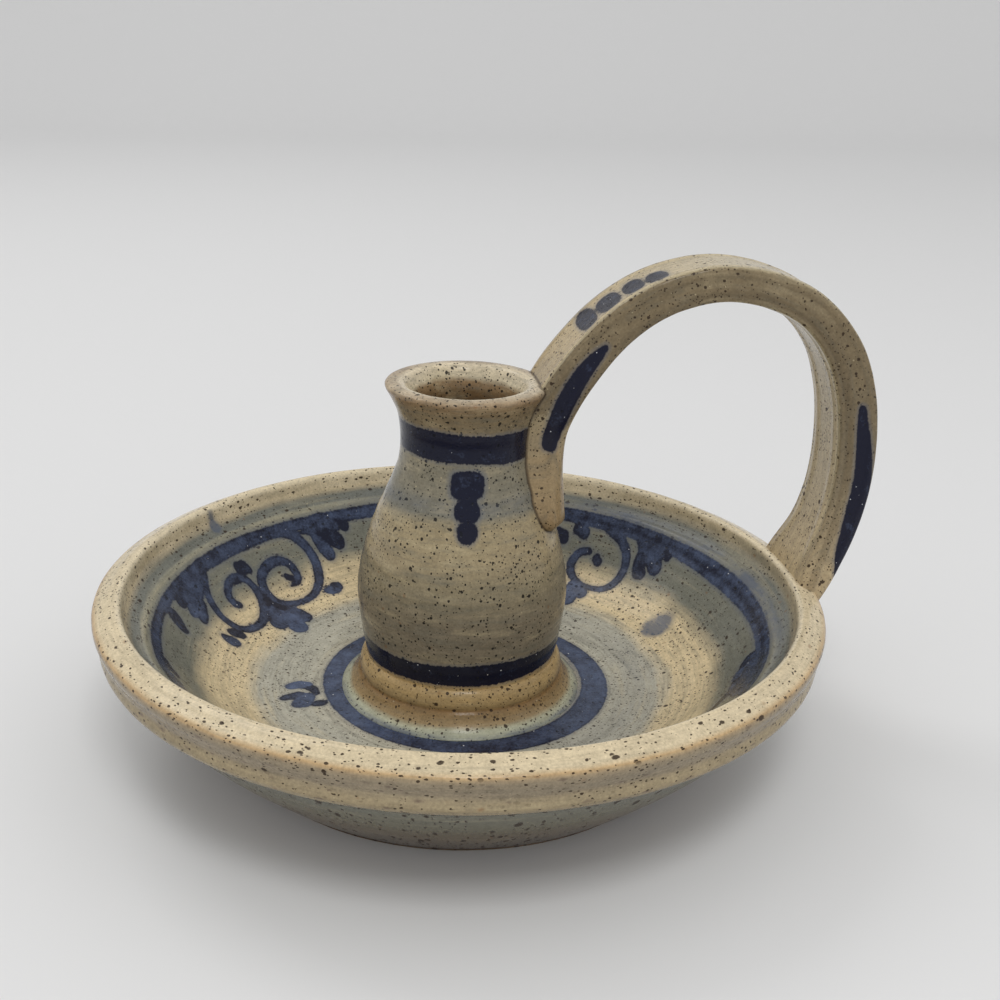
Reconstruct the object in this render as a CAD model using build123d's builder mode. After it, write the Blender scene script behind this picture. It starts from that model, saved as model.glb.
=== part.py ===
from build123d import *

import os

# A stoneware chamberstick: a thrown dish, a thrown candle socket luted to its floor, a coil
# of clay worked round that joint, and a pulled strap handle from the socket's neck to the rim.
# The frame stands on the middle of the foot, with +Z up and +X towards the handle.

# The dish, with heights taken from the table
rim_radius = 82.5
dish_height = 38.7
lip_set_in = 5.1
lip_drop = 3.1
lip_inner_set_in = 6.6
lip_inner_drop = 2.0
rim_face_height = 11.4
bead_height = 3.9
bead_bulge = 0.3
bead_set_in = 1.4
bead_foot_set_in = 2.9
undercut_depth = 2.3
undercut_height = 1.5
foot_radius = 52.1
foot_bevel = 0.5
floor_height = 11.5
floor_radius = 36.0
step_set_in = 10.1
step_drop = 6.6
step_width = 1.1
step_fall = 0.6

# The candle socket, with heights taken from the dish's floor
socket_height = 73.8
waist_radius = 22.1
waist_height = 9.5
belly_radius = 24.1
neck_radius = 14.5
neck_height = 60.5
lip_radius = 18.0
lip_width = 5.0
lip_height = 2.3
lip_flare = 2.9
lip_edge_round = 0.5
mouth_round = 1.2
socket_wall = 4.7
socket_floor = 5.3

# The bore in the neck, which holds the candle
candle_diameter = 22.2
candle_clearance = 0.2
bore_length = 15.5
mouth_depth = 5.8

# The coil worked round the socket's foot
collar_radius = 27.6
collar_height = 9.3
collar_edge = 0.5
collar_roll = 1.4
groove_width = 1.0

# The pulled strap handle
handle_reach = 93.5
handle_height = 111.8
strap_width = 16.2
strap_thickness = 7.7
strap_corner = 1.0
tongue_proud = 6.5
tongue_foot = 51.8
tongue_lean = 1.1
tail_width = 27.0
tail_set_in = 4.3
tail_drop = 5.5

# Outlines as shares of what they follow, each pair across and then up
dish_wall_shares = [(0.30, 0.25), (0.66, 0.60)]
rim_top_shares = [(0.07, 0.306), (0.235, 0.53), (0.61, 0.81)]
bowl_shares = [(0.283, 0.070), (0.524, 0.235), (0.722, 0.490), (0.907, 0.815)]
belly_shares = [
    (0.906, 0.127), (1.0, 0.324), (0.844, 0.496), (0.594, 0.647), (0.292, 0.780), (0.052, 0.902),
]
flare_shares = [(0.07, 0.318), (0.24, 0.545), (0.586, 0.782)]
hollow_shares = [
    (0.52, 0.078), (0.90, 0.248), (1.0, 0.439), (0.864, 0.597), (0.556, 0.767), (0.16, 0.905),
]
groove_share = 0.5
roll_share = 0.72
cove_shares = [(0.33, 0.30)]

# The strap's middle line goes across from tongue to far leg. It climbs beside the neck from the
# tongue's foot to the mouth, arches to the top, and comes down to the dish on the far side.
beside_neck_shares = [(0.004, 0.126), (0.0, 0.304), (0.0, 0.424), (0.0095, 0.691), (0.064, 0.958)]
arch_shares = [(0.136, 0.2765), (0.2234, 0.5818), (0.334, 0.823), (0.4537, 0.9649), (0.5518, 1.0)]
far_side_shares = [
    (0.6785, 0.977), (0.8065, 0.912), (0.917, 0.785), (0.974, 0.639), (1.0, 0.4805),
    (0.9959, 0.3074), (0.963, 0.1515), (0.914, 0.033),
]
# Sections along that line: how far along, then width, thickness and corner against the strap's own
tongue_share = 1.43
leg_share = 1.195
top_share = 0.987
tongue_sections = [
    (0.0, 0.62, 1.04, 3.5), (0.012, 1.17, 1.36, 4.0), (0.028, 1.45, tongue_share, 4.2),
    (0.05, 1.42, tongue_share, 4.2), (0.075, 1.18, tongue_share, 3.4),
    (0.105, 0.96, tongue_share, 2.2), (0.135, 0.89, tongue_share, 1.6),
]
strap_sections = [
    (0.135, 0.89, tongue_share, 1.6), (0.18, 0.99, 1.27, 1.15), (0.23, 1.07, 1.15, 1.0),
    (0.29, 1.055, 1.07, 1.0), (0.35, 1.03, 1.03, 1.0), (0.41, 1.01, 1.0, 1.0),
    (0.47, 1.0, top_share, 1.0), (0.53, 1.0, 1.0, 1.0), (0.59, 1.0, 1.04, 1.0),
    (0.65, 1.0, 1.12, 1.0), (0.71, 1.0, 1.18, 1.0), (0.77, 1.01, leg_share, 1.0),
    (0.83, 1.04, 1.17, 1.0), (0.88, 1.09, 1.12, 1.0), (0.92, 1.19, 1.05, 1.0),
    (0.96, 1.42, 0.94, 1.0),
]
tail_thickness_share = 0.64
corner_limit_share = 0.44


# Outlines are drawn on the side away from the handle, so no turned face begins under it
turning_plane = Plane(origin=(0, 0, 0), x_dir=(-1, 0, 0), z_dir=(0, 1, 0))


def share_points(start, end, shares):
    """Points between two corners of an outline, each at its shares across and up."""
    across = end[0] - start[0]
    up = end[1] - start[1]
    return [(start[0] + across * x_share, start[1] + up * y_share) for x_share, y_share in shares]


# The dish is one turned outline: foot, wall, undercut, bead, rim face, lip, step, bowl, floor
foot_edge = (foot_radius, foot_bevel)
bead_foot = (rim_radius - bead_foot_set_in, dish_height - rim_face_height)
undercut = (bead_foot[0] - undercut_depth, bead_foot[1] - undercut_height)
bead_top = (rim_radius - bead_set_in, bead_foot[1] + bead_height)
bead_middle = (bead_top[0] + bead_bulge, (bead_foot[1] + bead_top[1]) / 2)
lip_outside = (rim_radius, dish_height - lip_drop)
lip_crest = (rim_radius - lip_set_in, dish_height)
lip_inside = (rim_radius - lip_inner_set_in, dish_height - lip_inner_drop)
step_top = (rim_radius - step_set_in, dish_height - step_drop)
step_foot = (step_top[0] - step_width, step_top[1] - step_fall)
floor_edge = (floor_radius, floor_height)

with BuildPart() as dish:
    with BuildSketch(turning_plane):
        with BuildLine():
            Polyline(floor_edge, (0, floor_height), (0, 0), (foot_radius - foot_bevel, 0), foot_edge)
            Spline(foot_edge, *share_points(foot_edge, undercut, dish_wall_shares), undercut)
            Line(undercut, bead_foot)
            ThreePointArc(bead_foot, bead_middle, bead_top)
            Spline(bead_top, lip_outside, tangents=[(0, 1), (0, 1)])
            rim_top_points = share_points(lip_outside, lip_crest, rim_top_shares)
            Spline(lip_outside, *rim_top_points, lip_crest, tangents=[(0, 1), (-1, 0)])
            Spline(lip_crest, lip_inside, tangents=[(-1, 0), (0, -1)])
            Spline(lip_inside, step_top, tangents=[(0, -1), (-1, -1)])
            Line(step_top, step_foot)
            bowl_points = share_points(floor_edge, step_foot, bowl_shares)
            Spline(floor_edge, *bowl_points, step_foot, tangents=[(1, 0), (1, 1)])
        make_face()
    revolve(axis=Axis.Z)
dish.part.label = "dish"

# The socket stands on the dish's floor: first its outside, then the hollow thrown in it
waist_foot = (waist_radius, floor_height)
waist_top = (waist_radius, floor_height + waist_height)
neck = (neck_radius, floor_height + neck_height)
mouth_height = floor_height + socket_height
lip_foot = (neck_radius + lip_flare, mouth_height - lip_height)
lip_side = (lip_radius, mouth_height - lip_height / 2)
lip_edge = (lip_radius - lip_edge_round, mouth_height - lip_edge_round / 2)
mouth_crest = (lip_radius - lip_width / 2, mouth_height)
mouth_inside = (lip_radius - lip_width, mouth_height - mouth_round)
bore_radius = candle_diameter / 2 + candle_clearance
bore_top = (bore_radius, mouth_height - mouth_depth)
bore_foot = (bore_radius, bore_top[1] - bore_length)
hollow_height = floor_height + socket_floor
belly_points = share_points((neck_radius, waist_top[1]), (belly_radius, neck[1]), belly_shares)
hollow_points = share_points(
    (bore_radius, hollow_height), (belly_radius - socket_wall, bore_foot[1]), hollow_shares
)

with BuildPart() as socket_outside:
    with BuildSketch(turning_plane):
        with BuildLine():
            Polyline(mouth_crest, (0, mouth_height), (0, floor_height), waist_foot, waist_top)
            Spline(waist_top, *belly_points, neck, *share_points(neck, lip_foot, flare_shares), lip_foot)
            Spline(lip_foot, lip_side, lip_edge, mouth_crest, tangents=[(1, 2), (-1, 0)])
        make_face()
    revolve(axis=Axis.Z)

with BuildPart() as candle_socket:
    add(socket_outside.part)
    with BuildSketch(turning_plane):
        with BuildLine():
            Polyline(mouth_crest, (0, mouth_height), (0, hollow_height), (bore_radius, hollow_height))
            Spline((bore_radius, hollow_height), *hollow_points, bore_foot, tangents=[(1, 0), (0, 1)])
            Line(bore_foot, bore_top)
            Spline(bore_top, mouth_inside, mouth_crest, tangents=[(0, 1), (1, 0)])
        make_face()
    revolve(axis=Axis.Z, mode=Mode.SUBTRACT)
candle_socket.part.label = "candle_socket"

# The coil hides the joint: a roll under the waist, a tooled groove, and a cove to the floor
collar_top = (waist_radius, floor_height + collar_height)
roll_side = (waist_radius + collar_roll, floor_height + collar_height * roll_share)
groove_top = (roll_side[0] - groove_width / 4, floor_height + collar_height * groove_share)
groove_foot = (roll_side[0] + groove_width / 2, groove_top[1] - groove_width)
collar_foot = (collar_radius, floor_height + collar_edge)

with BuildPart() as foot_collar:
    with BuildSketch(turning_plane):
        with BuildLine():
            Polyline(collar_foot, (collar_radius, floor_height), waist_foot, collar_top)
            ThreePointArc(collar_top, roll_side, groove_top)
            Line(groove_top, groove_foot)
            Spline(groove_foot, *share_points(groove_foot, collar_foot, cove_shares), collar_foot)
        make_face()
    revolve(axis=Axis.Z)
foot_collar.part.label = "foot_collar"

# The strap is pressed on the neck, arches over, and spreads onto the rim of the dish
tongue_middle = neck_radius + tongue_proud - strap_thickness * tongue_share / 2
leg_middle = handle_reach - strap_thickness * leg_share / 2
top_middle = handle_height - strap_thickness * top_share / 2
strap_top = (leg_middle, top_middle)
beside_neck = share_points(
    (tongue_middle, tongue_foot), (leg_middle, mouth_height), beside_neck_shares
)
arch = share_points((tongue_middle, mouth_height), strap_top, arch_shares)
far_side = share_points((tongue_middle, dish_height), strap_top, far_side_shares)
tongue_end = (tongue_middle + tongue_lean, tongue_foot)
tail_end = (rim_radius - tail_set_in, dish_height - tail_drop)

strap_sections.append((1, tail_width / strap_width, tail_thickness_share, 1.0))

with BuildPart() as handle:
    with BuildLine(Plane.XZ) as strap:
        strap_line = Spline(tongue_end, *beside_neck, *arch, *far_side, tail_end)
    for sections in (tongue_sections, strap_sections):
        for along, width_share, thickness_share, corner_share in sections:
            width = strap_width * width_share
            thickness = strap_thickness * thickness_share
            corner_limit = min(width, thickness) * corner_limit_share
            square_on = Plane(origin=strap_line @ along, x_dir=(0, 1, 0), z_dir=strap_line % along)
            with BuildSketch(square_on):
                RectangleRounded(width, thickness, min(strap_corner * corner_share, corner_limit))
        loft()
    add(socket_outside.part, mode=Mode.SUBTRACT)
    add(dish.part, mode=Mode.SUBTRACT)
handle.part.label = "handle"

os.makedirs("parts", exist_ok=True)
for piece in (dish, candle_socket, foot_collar, handle):
    export_step(piece.part, f"parts/{piece.part.label}.step")
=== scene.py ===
import math

import bpy
import numpy as np
from mathutils import Matrix, Vector
from mathutils.bvhtree import BVHTree


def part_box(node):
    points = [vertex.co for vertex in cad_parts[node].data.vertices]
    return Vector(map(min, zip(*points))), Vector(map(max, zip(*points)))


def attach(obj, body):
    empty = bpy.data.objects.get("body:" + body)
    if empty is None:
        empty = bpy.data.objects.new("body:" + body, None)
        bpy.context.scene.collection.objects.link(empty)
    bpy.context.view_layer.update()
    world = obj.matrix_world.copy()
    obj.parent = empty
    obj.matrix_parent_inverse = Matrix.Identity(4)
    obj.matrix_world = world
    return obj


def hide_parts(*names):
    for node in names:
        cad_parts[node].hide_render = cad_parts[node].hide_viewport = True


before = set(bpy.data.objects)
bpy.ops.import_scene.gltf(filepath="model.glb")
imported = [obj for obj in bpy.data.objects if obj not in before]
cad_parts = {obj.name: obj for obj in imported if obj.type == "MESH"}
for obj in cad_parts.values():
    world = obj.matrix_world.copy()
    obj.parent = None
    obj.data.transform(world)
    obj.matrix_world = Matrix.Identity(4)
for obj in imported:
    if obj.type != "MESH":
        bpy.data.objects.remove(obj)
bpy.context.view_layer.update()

# Lengths are in metres; a length typed in millimetres is multiplied by MM
MM = 0.001
TURN = 2 * math.pi
RIDES_ON = "root"

# Places read from the fixed frame
rim_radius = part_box("dish")[1].y
rim_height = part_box("dish")[1].z
floor_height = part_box("candle_socket")[0].z
mouth_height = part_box("candle_socket")[1].z

# How finely each piece is thrown or pulled
DISH_SEGMENTS = 576
SOCKET_SEGMENTS = 300
COIL_SEGMENTS = 300
STRAP_SIDES = 160
STRAP_CUTS = (99, 2)
SPAN_STEPS = 24
WELD = 0.01 * MM


# Lines and outlines

def smooth(points, spacing):
    """Evenly spaced points along a smooth line through the given ones."""
    knots = np.array(points, float)
    padded = np.vstack([2 * knots[0] - knots[1], knots, 2 * knots[-1] - knots[-2]])
    share = np.linspace(0, 1, SPAN_STEPS + 1)[1:, None]
    dense = [knots[:1]]
    for before, start, end, after in zip(padded, padded[1:], padded[2:], padded[3:]):
        lead_gap, gap, tail_gap = (
            np.linalg.norm(b - a) ** 0.5 for a, b in ((before, start), (start, end), (end, after))
        )
        middle = (end - start) / gap
        lead = gap * ((start - before) / lead_gap - (end - before) / (lead_gap + gap) + middle)
        tail = gap * (middle - (after - start) / (gap + tail_gap) + (after - end) / tail_gap)
        rise = share * share * (3 - 2 * share)
        dense.append(
            start + rise * (end - start)
            + share * (1 - share) ** 2 * lead - share * share * (1 - share) * tail
        )
    dense = np.vstack(dense)
    run = travelled(dense)
    count = max(1, round(run[-1] / spacing))
    at = np.linspace(0, run[-1], count + 1)
    return resampled(dense, run, at)


def resampled(line, run, at):
    """The points of a line at the given distances along it."""
    return np.column_stack([np.interp(at, run, column) for column in line.T])


def travelled(line):
    """How far along a line each of its points is."""
    return np.concatenate([[0], np.cumsum(np.linalg.norm(np.diff(line, axis=0), axis=1))])


def arc(middle, radius, start, end, spacing):
    """Points on an arc between two angles, in degrees."""
    start, end = math.radians(start), math.radians(end)
    count = max(2, round(abs(end - start) * radius / spacing))
    angle = np.linspace(start, end, count + 1)
    return np.column_stack([middle[0] + radius * np.cos(angle), middle[1] + radius * np.sin(angle)])


def join(*runs):
    """One outline from runs that each begin where the last one ended."""
    return np.vstack([runs[0], *(run[1:] for run in runs[1:])])


def below_rim(*pairs):
    """Points of the dish: how far in from the rim, then how far below it, in millimetres."""
    return [(rim_radius - across * MM, rim_height - down * MM) for across, down in pairs]


def rim_run(spacing, *pairs):
    """A smooth run of the dish's outline; its spacing is in millimetres too."""
    return smooth(below_rim(*pairs), spacing * MM)


def floor_run(spacing, *pairs):
    """The same for the socket and the coil: radius, then height above the dish's floor."""
    return smooth([(radius * MM, floor_height + up * MM) for radius, up in pairs], spacing * MM)


def crest_of(outline):
    """Which point of an outline is its highest."""
    return int(np.argmax(outline[:, 1]))


FOOT = (30.4, 38.2)
FOOT_BEVEL = 0.5 * MM
BEVEL_MIDDLE = 0.15 * MM
UNDERCUT = (5.2, 12.9)
BEAD_TOP = (1.4, 7.5)
LIP_SIDE = (0.0, 3.1)
LIP_CREST = (5.1, 0.0)
LIP_INSIDE = (6.6, 2.0)
STEP_TOP = (10.1, 6.6)
STEP_FOOT = (11.2, 7.2)
FLOOR_EDGE = (46.5, 27.2)
BENCH_END = 25 * MM


def dish_outline():
    """The dish from the middle of its base, up its outside, over the lip and down to its floor."""
    foot_edge, = below_rim(FOOT)
    heel = (foot_edge[0] - FOOT_BEVEL, 0.0)
    base = smooth([(0, 0), heel], 6 * MM)
    bevel = smooth([heel, (foot_edge[0] - BEVEL_MIDDLE, BEVEL_MIDDLE), foot_edge], 0.35 * MM)
    wall = rim_run(2.0, FOOT, (22.8, 31.6), (13.75, 22.9), UNDERCUT)
    bead = rim_run(0.6, UNDERCUT, (4.4, 12.55), (3.0, 11.6), (1.9, 10.8), (1.15, 9.5), BEAD_TOP)
    face = rim_run(0.7, BEAD_TOP, (1.35, 6.8), (0.6, 5.2), (0.12, 4.1), LIP_SIDE)
    lip = rim_run(
        0.45, LIP_SIDE, (0.22, 2.3), (0.62, 1.85), (1.5, 1.42), (2.6, 0.92), (3.6, 0.42), LIP_CREST
    )
    crest = rim_run(0.5, LIP_CREST, (5.75, 0.18), (6.35, 0.9), LIP_INSIDE)
    inner_lip = rim_run(
        0.6, LIP_INSIDE, (6.9, 3.5), (8.0, 5.0), (9.1, 5.95), (9.7, 6.35), STEP_TOP
    )
    step = rim_run(0.45, STEP_TOP, (10.5, 6.66), STEP_FOOT)
    bowl = rim_run(
        0.64, STEP_FOOT, (14.47, 10.9), (21.0, 17.4), (28.0, 22.5), (36.5, 25.8), FLOOR_EDGE
    )
    floor_edge, = below_rim(FLOOR_EDGE)
    bench = smooth([floor_edge, (BENCH_END, floor_height)], 0.64 * MM)
    hidden = smooth([(BENCH_END, floor_height), (0, floor_height)], 6 * MM)
    return join(base, bevel, wall, bead, face, lip, crest, inner_lip, step, bowl, bench, hidden)


WAIST = (22.1, 9.5)
LIP_FOOT = (17.4, 71.5)
MOUTH_CREST = (15.5, 73.8)
MOUTH_INSIDE = (13.0, 72.5)
BORE_TOP = (11.3, 68.0)
BORE_FOOT = (11.3, 52.5)
HOLLOW_FLOOR = (11.3, 5.3)


def socket_outline():
    """The socket from the middle of its foot, up its outside, over the lip and down inside."""
    foot = floor_run(6, (0, 0), (22.1, 0))
    skirt = floor_run(1.0, (22.1, 0), WAIST)
    body = floor_run(
        0.62, WAIST, (23.2, 15.98), (24.1, 26.02), (22.6, 34.8), (20.2, 42.5), (17.3, 49.3),
        (15.0, 55.5), (14.5, 60.5), (14.7, 64.1), (15.2, 66.8), (16.2, 69.35), LIP_FOOT,
    )
    lip = floor_run(
        0.45, LIP_FOOT, (17.9, 72.5), (17.85, 73.2), (17.3, 73.58), (16.4, 73.72), MOUTH_CREST
    )
    mouth = floor_run(0.5, MOUTH_CREST, (14.4, 73.62), (13.5, 73.2), MOUTH_INSIDE)
    throat = floor_run(0.7, MOUTH_INSIDE, (12.35, 71.1), (11.65, 69.4), BORE_TOP)
    bore = floor_run(1.4, BORE_TOP, BORE_FOOT)
    hollow = floor_run(
        2.5, BORE_FOOT, (12.6, 48.0), (15.8, 41.5), (18.3, 33.5), (19.4, 26.0), (18.6, 17.0),
        (15.5, 9.0), HOLLOW_FLOOR,
    )
    well = floor_run(4, HOLLOW_FLOOR, (0, 5.3))
    return join(foot, skirt, body, lip, mouth, throat, bore, hollow, well)


COIL_START = (21.6, -0.4)
COVE_FOOT = (27.9, -0.4)
COVE_EDGE = (27.85, 0.12)
COIL_TOP = (22.0, 9.3)


def coil_outline():
    """The coil round the socket's foot: a roll, a tooled groove and a cove out to the floor."""
    under = floor_run(1.5, COIL_START, COVE_FOOT)
    edge = floor_run(0.3, COVE_FOOT, COVE_EDGE)
    cove = floor_run(
        0.4, COVE_EDGE, (27.1, 0.55), (26.2, 1.25), (25.2, 2.3), (24.45, 3.3), (23.95, 4.1),
        (23.5, 4.45), (23.3, 4.8), (23.5, 5.4), (23.55, 6.4), (23.25, 7.6), (22.7, 8.6), COIL_TOP,
    )
    back = floor_run(1.5, COIL_TOP, (21.6, 9.1), COIL_START)
    return join(under, edge, cove, back)


# Making the meshes

def mode(name):
    bpy.ops.object.mode_set(mode=name)


def pick_all(action="SELECT"):
    """Picks every part of the mesh that is being edited, or none of it."""
    bpy.ops.mesh.select_all(action=action)


def pick(piece=None):
    """Leaves only that piece picked, or nothing."""
    if bpy.context.object and bpy.context.object.mode != "OBJECT":
        mode("OBJECT")
    bpy.ops.object.select_all(action="DESELECT")
    if piece:
        bpy.context.view_layer.objects.active = piece
        piece.select_set(True)


def vertex_rows(piece, name="co"):
    """The place of each vertex, or its outward "normal", as rows of x, y, z."""
    flat = np.empty(len(piece.data.vertices) * 3, np.float32)
    piece.data.vertices.foreach_get(name, flat)
    return flat.reshape(-1, 3).astype(float)


def polar(rows):
    """The angle round the axis and the distance from it."""
    return np.arctan2(rows[:, 1], rows[:, 0]), np.hypot(rows[:, 0], rows[:, 1])


def move_to(piece, rows):
    piece.data.vertices.foreach_set("co", rows.astype(np.float32).ravel())
    piece.data.update()


def record_on(piece, **columns):
    """Keeps a number for each vertex under each name, which the piece's glaze reads."""
    for name, values in columns.items():
        attribute = piece.data.attributes.new(name, "FLOAT", "POINT")
        attribute.data.foreach_set("value", np.asarray(values, np.float32))


def throw(name, outline, segments):
    """A piece thrown on the wheel: its outline drawn edge by edge, then spun round the axis.

    Gives the piece, its vertices, and the angle and distance from the axis of each.
    """
    pick()
    radius, height = outline[0]
    bpy.ops.mesh.primitive_plane_add(size=MM, location=(radius, 0, height))
    piece = bpy.context.object
    piece.name = piece.data.name = name
    bpy.ops.object.transform_apply(location=True, rotation=True, scale=True)
    mode("EDIT")
    pick_all()
    bpy.ops.mesh.merge(type="CENTER")
    for across, up in np.diff(outline, axis=0):
        bpy.ops.mesh.extrude_region_move(TRANSFORM_OT_translate={"value": (across, 0, up)})
    pick_all()
    bpy.ops.mesh.spin(steps=segments, angle=TURN, center=(0, 0, 0), axis=(0, 0, 1))
    pick_all()
    bpy.ops.mesh.remove_doubles(threshold=WELD)
    bpy.ops.mesh.normals_make_consistent(inside=False)
    mode("OBJECT")
    bpy.ops.object.shade_smooth()
    rows = vertex_rows(piece)
    return piece, rows, *polar(rows)


def nearest_on(outline, rows):
    """Which point of the outline each vertex of a thrown piece came from."""
    across = np.hypot(rows[:, 0], rows[:, 1])[:, None] - outline[:, 0]
    up = rows[:, 2][:, None] - outline[:, 1]
    return np.argmin(across ** 2 + up ** 2, axis=1)


def press(piece, name, size, depth):
    """Slight unevenness left by the hands, pressed inwards only."""
    cloud = bpy.data.textures.new(name, "CLOUDS")
    cloud.noise_scale = size
    cloud.noise_depth = 2
    pick(piece)
    change = piece.modifiers.new(name, "DISPLACE")
    change.texture = cloud
    change.texture_coords = "LOCAL"
    change.strength = depth
    change.mid_level = 1.0
    bpy.ops.object.modifier_apply(modifier=name)


def bump_share(distance, width):
    """1 on a line, falling smoothly to nothing a few widths from it."""
    return np.exp(-(distance / width) ** 2)


def toward(angle, azimuth, gain, loss):
    """1 on the side that an azimuth in degrees points to, fading to nothing away from it."""
    return np.clip(np.cos(angle - math.radians(azimuth)) * gain - loss, 0, 1)


# Brushwork: strokes are points of x, y and half the brush's width, in millimetres, seen from above

BAND_RADIUS = 69.0
BAND_HALF = 1.2
RING_CENTRE = (1.3, 0.2)
RING_RADIUS = 30.6
RING_HALF = 2.9
DENSE, DARK, DEEP, MIDDLE, THIN = 1.15, 1.0, 0.75, 0.5, 0.25

# Each stroke is its load of pigment, then its points
SPIRALS = [
    (DEEP, [(-45.6, 51.6, 1.0), (-43.2, 53.6, 1.1), (-40.4, 55.1, 1.2), (-37.4, 55.3, 1.35),
            (-34.6, 54.2, 1.4), (-32.6, 51.9, 1.4), (-31.8, 48.8, 1.35), (-31.9, 45.6, 1.2),
            (-33.0, 42.7, 1.05), (-35.2, 39.7, 0.95), (-38.2, 37.3, 0.95), (-41.6, 36.0, 1.1),
            (-44.6, 36.7, 1.3), (-46.3, 39.0, 1.35), (-46.4, 41.8, 1.2), (-45.3, 44.3, 1.15),
            (-43.6, 46.6, 1.15), (-41.4, 48.1, 1.1), (-39.0, 48.0, 1.25), (-37.4, 46.2, 1.2),
            (-37.5, 44.4, 0.9), (-39.0, 42.5, 0.35)]),
    (DARK, [(-40.0, 44.6, 0.95), (-39.1, 44.7, 0.95)]),
    (DEEP, [(-60.3, 31.5, 0.9), (-59.8, 27.6, 1.0), (-58.3, 24.2, 1.1), (-55.9, 21.9, 1.15),
            (-53.0, 21.1, 1.15), (-50.2, 21.9, 1.1), (-47.9, 24.2, 1.15), (-46.3, 27.2, 1.2),
            (-45.8, 30.4, 1.35), (-46.3, 33.6, 1.3), (-47.8, 36.3, 1.2), (-49.9, 37.7, 1.15),
            (-52.2, 37.0, 1.05), (-54.1, 34.6, 0.95), (-54.7, 31.9, 1.0), (-54.2, 29.5, 1.2),
            (-52.7, 28.7, 1.2), (-51.9, 29.2, 1.0)]),
    (DARK, [(-52.3, 36.7, 1.0), (-53.4, 35.3, 1.0)]),
    (DARK, [(-52.0, 39.6, 1.6), (-51.2, 40.2, 1.5)]),
    (DARK, [(-50.6, 40.9, 1.6), (-49.9, 41.0, 1.2)]),
]
JOINT_LEAF = [
    (DARK, [(-45.2, 35.6, 1.3), (-43.0, 34.2, 1.7), (-40.4, 34.2, 1.6)]),
    (DEEP, [(-43.0, 33.6, 1.9), (-42.9, 30.8, 2.3), (-42.4, 28.4, 2.4)]),
    (MIDDLE, [(-40.4, 33.2, 2.2), (-38.6, 30.6, 2.5), (-37.6, 28.7, 2.6)]),
    (DEEP, [(-40.2, 34.4, 1.6), (-37.4, 34.0, 2.0), (-36.0, 33.2, 2.2)]),
]
SIDE_PETAL = [
    (MIDDLE, [(-29.9, 44.3, 0.8), (-28.3, 45.1, 1.5), (-27.4, 45.6, 1.5)]),
    (DEEP, [(-27.6, 46.4, 1.4), (-26.8, 46.7, 1.35)]),
]
NEAR_CLUSTER = [
    (DEEP, [(-36.9, 56.4, 0.25), (-35.0, 57.8, 0.8), (-32.6, 59.2, 1.9)]),
    (DEEP, [(-32.4, 59.9, 2.2), (-30.2, 61.2, 2.3), (-27.2, 62.0, 1.7)]),
    (DARK, [(-28.0, 62.9, 1.3), (-25.6, 63.0, 1.5), (-24.4, 62.6, 1.45)]),
    (DARK, [(-31.0, 59.2, 2.4), (-28.4, 59.2, 2.3), (-26.2, 58.6, 1.95)]),
    (DEEP, [(-31.6, 57.6, 1.9), (-29.9, 55.8, 2.0), (-28.8, 55.0, 1.85)]),
]
FAR_CLUSTER = [
    (DEEP, [(-61.9, 28.6, 2.2), (-62.8, 24.4, 2.6), (-63.1, 20.6, 2.9)]),
    (DARK, [(-64.7, 20.4, 1.9), (-65.0, 17.4, 1.5), (-65.0, 16.3, 1.2)]),
    (MIDDLE, [(-62.4, 20.2, 1.7), (-62.3, 17.0, 1.3), (-62.2, 15.7, 0.8)]),
    (DEEP, [(-60.9, 21.6, 1.6), (-60.2, 18.4, 1.35), (-60.0, 16.4, 1.1)]),
]
FAR_DAB = [(DARK, [(-66.4, 10.6, 1.6), (-65.4, 9.1, 1.75), (-64.2, 7.9, 1.45)])]
LOWER_PETALS = [
    (DARK, [(-53.6, 18.3, 1.2), (-52.4, 18.8, 1.5), (-51.5, 18.9, 1.4)]),
    (DEEP, [(-54.7, 15.3, 1.3), (-53.6, 15.1, 1.8), (-52.9, 15.0, 1.7)]),
]
RING_FLOWER = [
    (THIN, [(-39.9, 0.0, 1.3), (-38.0, 0.9, 1.8), (-36.4, 1.0, 1.8)]),
    (DARK, [(-35.9, 0.2, 1.4), (-34.7, -0.9, 1.3), (-34.0, -3.0, 0.9)]),
    (DEEP, [(-41.5, -6.0, 1.0), (-39.9, -5.0, 1.5), (-37.8, -4.2, 1.9)]),
    (MIDDLE, [(-36.5, -4.9, 2.3), (-37.2, -7.4, 2.3), (-38.2, -8.6, 1.6)]),
    (DARK, [(-34.4, -8.2, 1.0), (-33.2, -7.7, 1.5), (-32.7, -7.5, 1.2)]),
]
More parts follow.
